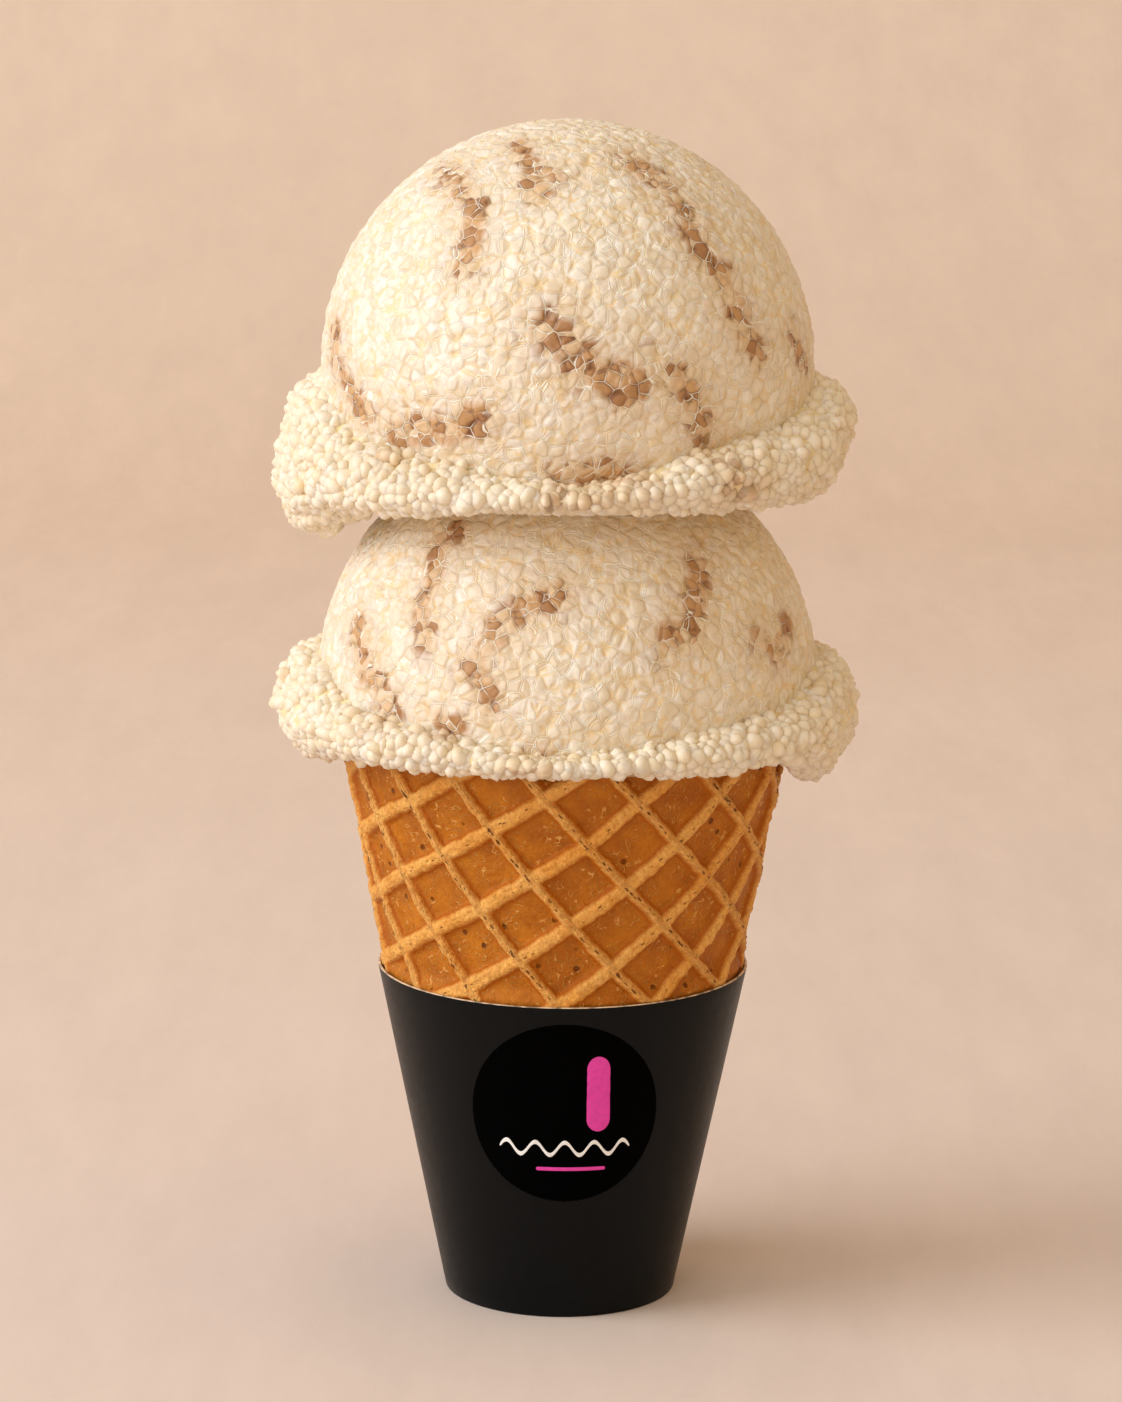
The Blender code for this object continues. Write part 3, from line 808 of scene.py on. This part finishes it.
def make_cone():
    """The rolled wafer: a fine relief above the sleeve, plainer where the sleeve hides it."""
    columns = CONE_COLUMNS
    hidden_rows = 10
    seen_from = SLEEVE_HEIGHT - 2.0 * MM
    seen_rows = int((CONE_MOUTH - seen_from) / CONE_ROW)
    heights = np.concatenate([np.linspace(CONE_FOOT, seen_from, hidden_rows, endpoint=False),
                              np.linspace(seen_from, CONE_MOUTH, seen_rows)])
    bearings = WRAP_BEARING - 360.0 + 360.0 * (np.arange(columns) + 0.5) / columns
    bearing = np.tile(bearings, len(heights))
    z = np.repeat(heights, columns)
    base = np.array([cone_radius(h) for h in heights]).repeat(columns)
    free = smooth_step(SLEEVE_HEIGHT + 0.2 * MM, SLEEVE_HEIGHT + 2.0 * MM, z)
    pressed = smooth_step(seen_from - 1.0 * MM, SLEEVE_HEIGHT, z) * (1.0 - 0.6 * free)
    base = base + wrap_rise(bearing) * free + 0.25 * MM * pressed
    turn = np.radians(bearing)
    spots = np.stack([base * np.sin(turn), -base * np.cos(turn), z], axis=1)
    depth, ridge, falling_step, rising_step = waffle_relief(bearing, z, spots)
    radius = base - depth
    outer = np.stack([radius * np.sin(turn), -radius * np.cos(turn), z], axis=1)
    inner_heights = [CONE_MOUTH, SLEEVE_HEIGHT, CONE_FOOT + CONE_FLOOR]
    rows = [outer.reshape(len(heights), columns, 3)]
    for height in inner_heights:
        inside = cone_radius(height) - WAFER
        ring = np.stack([inside * np.sin(turn[:columns]), -inside * np.cos(turn[:columns]),
                         np.full(columns, height)], axis=1)
        rows.append(ring[None])
    points = np.concatenate(rows).reshape(-1, 3)
    faces = grid_faces(len(heights) + len(inner_heights), columns, True)
    pad = np.zeros(columns * len(inner_heights) + 2)
    # the two discs of the flat foot
    foot = [(len(points), (k + 1) % columns, k, k) for k in range(columns)]
    last = len(points) - columns
    floor = [(len(points) + 1, last + k, last + (k + 1) % columns, last + k)
             for k in range(columns)]
    middles = [(0.0, 0.0, CONE_FOOT), (0.0, 0.0, CONE_FOOT + CONE_FLOOR)]
    points = np.concatenate([points, middles])
    faces = np.concatenate([faces[:, ::-1], np.array(foot)[:, ::-1], np.array(floor)[:, ::-1]])
    material = wafer_material()
    values = {"ridge": ridge, "falling_step": falling_step, "rising_step": rising_step}
    values = {key: np.concatenate([value, pad]) for key, value in values.items()}
    cone = mesh_object("waffle_cone", points, faces, material, **values)
    finish_piece(cone, "wafer", "cone")


# ---------------------------------------------------------------- card sleeve and label

def card_material():
    """Black card with a faint sheen; its cut edge is pale."""
    look = Shader("black card")
    edge = look.attribute("edge")
    fibre = look.noise(700.0, 3.0, 0.6)
    black = look.ramp(fibre, (0.3, srgb(2, 4, 6)), (0.7, srgb(4, 7, 9)))
    worn = look.product(edge, look.span(look.noise(700.0, 2.0), 0.38, 0.55, 0.35, 1.0))
    look.colour(look.mix(worn, black, srgb(232, 208, 180)))
    look.roughness(look.span(fibre, 0.3, 0.7, 0.34, 0.42))
    look.bump(fibre, 0.00006, 0.25)
    look.principled.inputs["Specular IOR Level"].default_value = 0.14
    return look.material


def make_sleeve():
    """The tapered card sleeve with its floor, its pale cut edge and its glued lap."""
    columns = 240
    wall = [0.2 * MM + (SLEEVE_HEIGHT - 0.4 * MM) * k / 24.0 for k in range(25)]
    rows = []
    edge = []
    turn = np.radians(360.0 * np.arange(columns) / columns)
    lap_shape = LAP_STEP * smooth_step(0.0, 14.0, np.degrees(turn) - 168.0)
    lap_shape[np.degrees(turn) > 190.0] = 0.0

    def ring(radius, z, is_edge, lapped=1.0):
        reach = radius + lap_shape * lapped
        rows.append(np.stack([reach * np.sin(turn), -reach * np.cos(turn), np.full(columns, z)],
                             axis=1))
        edge.extend([is_edge] * columns)

    ring(0.02 * MM, 0.0, 0.0, 0.0)
    ring(SLEEVE_FOOT_RADIUS - 0.25 * MM, 0.0, 0.0)
    ring(SLEEVE_FOOT_RADIUS - 0.06 * MM, 0.05 * MM, 0.0)
    for z in wall:
        ring(sleeve_radius(z), z, 0.0)
    ring(SLEEVE_RIM_RADIUS - 0.04 * MM, SLEEVE_HEIGHT - 0.11 * MM, 0.0)
    ring(SLEEVE_RIM_RADIUS - 0.05 * MM, SLEEVE_HEIGHT - 0.08 * MM, 1.0)
    ring(SLEEVE_RIM_RADIUS - 0.5 * CARD, SLEEVE_HEIGHT, 1.0)
    ring(SLEEVE_RIM_RADIUS - CARD, SLEEVE_HEIGHT - 0.03 * MM, 1.0, 0.0)
    ring(sleeve_radius(SLEEVE_HEIGHT - 0.3 * MM) - CARD, SLEEVE_HEIGHT - 0.3 * MM, 0.0, 0.0)
    ring(SLEEVE_FOOT_RADIUS - CARD, SLEEVE_FLOOR, 0.0, 0.0)
    ring(0.02 * MM, SLEEVE_FLOOR, 0.0, 0.0)
    points = np.concatenate(rows)
    faces = grid_faces(len(rows), columns, True)[:, ::-1]
    sleeve = mesh_object("card_sleeve", points, faces, card_material(), edge=edge)
    finish_piece(sleeve, "card", "sleeve")


def on_sleeve(across, z, lift):
    """A point of the sleeve's front, a distance round from the middle, lifted off the card."""
    radius = sleeve_radius(z)
    return place(math.degrees(across / radius), radius + lift, z)


def disc(name, x, z, radius, lift, material, sides=96, rings=10):
    """A thin round patch on the sleeve."""
    points = []
    for ring in range(rings + 1):
        far = radius * (1.0 - ring / rings * 0.999)
        for k in range(sides):
            turn = 2.0 * math.pi * k / sides
            spot = on_sleeve(x + far * math.cos(turn), z + far * math.sin(turn),
                             lift if ring else 0.0)
            points.append(tuple(spot))
    faces = grid_faces(rings + 1, sides, True)
    return mesh_object(name, points, faces, material)


def stroke(name, start, end, width, lift, material, swing=0.0, waves=2.5, rows=120, columns=9):
    """A printed line with round ends on the sleeve, which may swing to and fro."""
    along = Vector(end) - Vector(start)
    length = along.length
    along.normalize()
    aside = Vector((-along.y, along.x))
    points = []
    for row in range(rows):
        gone = 0.5 * length * (1.0 - math.cos(math.pi * (row + 0.5) / rows))
        left = min(gone, length - gone, 0.5 * width)
        half = math.sqrt(0.25 * width ** 2 - (0.5 * width - left) ** 2)
        middle = Vector(start) + along * gone
        middle += aside * swing * math.sin(2.0 * math.pi * waves * gone / length)
        for column in range(columns):
            share = 2.0 * column / (columns - 1) - 1.0
            spot = middle + aside * half * share
            is_edge = abs(share) > 0.99 or row in (0, rows - 1)
            points.append(tuple(on_sleeve(spot.x, spot.y, 0.0 if is_edge else lift)))
    return mesh_object(name, points, grid_faces(rows, columns, False), material)


def print_material(name, colour, roughness):
    """Flat printing ink, faintly speckled."""
    look = Shader(name)
    speck = look.noise(1500.0, 2.0)
    shade = tuple(0.9 * c for c in colour[:3])
    look.colour(look.ramp(speck, (0.35, (*shade, 1.0)), (0.6, colour)))
    look.roughness(look.span(speck, 0.3, 0.7, roughness - 0.04, roughness + 0.04))
    look.principled.inputs["Specular IOR Level"].default_value = 0.02
    return look.material


def make_label():
    """A bare black round label with plain shapes on it."""
    x, z = LABEL_X, LABEL_Z
    black = print_material("label black", srgb(1, 1, 1), 0.8)
    white = print_material("label white", srgb(245, 245, 245), 0.5)
    pink = print_material("label pink", srgb(232, 78, 176), 0.5)
    shapes = (
        disc("label", x, z, LABEL_RADIUS, LABEL_LIFT, black),
        stroke("label_capsule", (x + 4.3 * MM, z - 2.6 * MM), (x + 4.3 * MM, z + 8.0 * MM),
               3.6 * MM, PRINT_LIFT, pink),
        stroke("label_wave", (x - 8.6 * MM, z - 5.0 * MM), (x + 8.6 * MM, z - 5.0 * MM),
               0.7 * MM, PRINT_LIFT, white, swing=0.9 * MM, waves=4.5),
        stroke("label_line", (x - 3.7 * MM, z - 7.9 * MM), (x + 5.3 * MM, z - 7.9 * MM),
               0.6 * MM, PRINT_LIFT, pink),
    )
    for shape in shapes:
        finish_piece(shape, "card")


# ---------------------------------------------------------------- stage, light, camera

def make_stage():
    """A plain beige floor that sweeps up behind into the backdrop."""
    look = Shader("backdrop paper", 0.9)
    mottle = look.noise(60.0, 6.0, 0.75, stretch=(1.0, 0.25, 1.0))
    level = look.ramp(mottle, (0.35, srgb(221, 206, 197)), (0.65, srgb(227, 212, 203)))
    upright = look.ramp(mottle, (0.35, srgb(218, 198, 182)), (0.65, srgb(224, 204, 188)))
    depth = look.node("ShaderNodeSeparateXYZ")
    look.link(look.coordinates(), depth.inputs["Vector"])
    look.colour(look.mix(look.span(depth.outputs["Y"], 0.0, 0.6), level, upright))
    look.principled.inputs["Specular IOR Level"].default_value = 0.1
    width = 3.0
    front = -1.6
    back = 1.1
    bend = 0.5
    profile = [(front, 0.0), (back - bend, 0.0)]
    profile += [(back - bend + bend * math.sin(a), bend - bend * math.cos(a))
                for a in (math.radians(5.0 * k) for k in range(1, 19))]
    profile.append((back, 2.4))
    points = [(x, y, z) for y, z in profile for x in (-width, width)]
    floor = mesh_object("floor", points, grid_faces(len(profile), 2, False)[:, ::-1], look.material)


def aim(thing, target, roll=0.0):
    """Turn a lamp or a camera to look at a point."""
    heading = (Vector(target) - thing.location).to_track_quat("-Z", "Y").to_matrix()
    thing.rotation_euler = (heading @ Matrix.Rotation(math.radians(roll), 3, "Z")).to_euler()


def lamp(name, location, target, size, watts):
    """A white round area lamp."""
    light = bpy.data.lights.new(name, "AREA")
    light.shape = "DISK"
    light.size = size
    light.energy = watts
    thing = bpy.data.objects.new(name, light)
    thing.location = location
    bpy.context.scene.collection.objects.link(thing)
    aim(thing, target)


def make_light():
    """White lamps, and a world that is neutral at the upper left and warm at the lower right."""
    for name, location, size, watts in LAMPS:
        lamp(name, location, LIT_MIDDLE, size, watts)
    world = bpy.context.scene.world or bpy.data.worlds.new("World")
    bpy.context.scene.world = world
    world.use_nodes = True
    tree = world.node_tree
    background = tree.nodes["Background"]
    where = tree.nodes.new("ShaderNodeTexCoord").outputs["Generated"]
    # how far a direction points towards the warm side
    towards = tree.nodes.new("ShaderNodeVectorMath")
    towards.operation = "DOT_PRODUCT"
    towards.inputs[1].default_value = WARM_SIDE
    tree.links.new(where, towards.inputs[0])
    across = tree.nodes.new("ShaderNodeMapRange")
    across.inputs["From Min"].default_value = -1.0
    tree.links.new(towards.outputs["Value"], across.inputs["Value"])
    blend = tree.nodes.new("ShaderNodeMix")
    blend.data_type = "RGBA"
    blend.inputs[6].default_value = COOL_LIGHT
    blend.inputs[7].default_value = WARM_LIGHT
    tree.links.new(across.outputs["Result"], blend.inputs["Factor"])
    tree.links.new(blend.outputs[2], background.inputs["Color"])
    background.inputs["Strength"].default_value = 1.0


def make_camera():
    """Eye 650 mm in front and a little above, looking slightly down."""
    camera = bpy.data.cameras.new("camera")
    camera.sensor_width = 36.0
    camera.lens = 130.4
    camera.clip_start = 0.05
    thing = bpy.data.objects.new("camera", camera)
    aside = -0.54 * MM
    thing.location = (aside, -0.650, 0.2144)
    bpy.context.scene.collection.objects.link(thing)
    aim(thing, (aside, 0.0, 0.0793), roll=0.55)
    bpy.context.scene.camera = thing


make_scoops()
make_cone()
make_sleeve()
make_label()
make_stage()
make_light()
make_camera()
bpy.context.scene.view_settings.view_transform = "Standard"
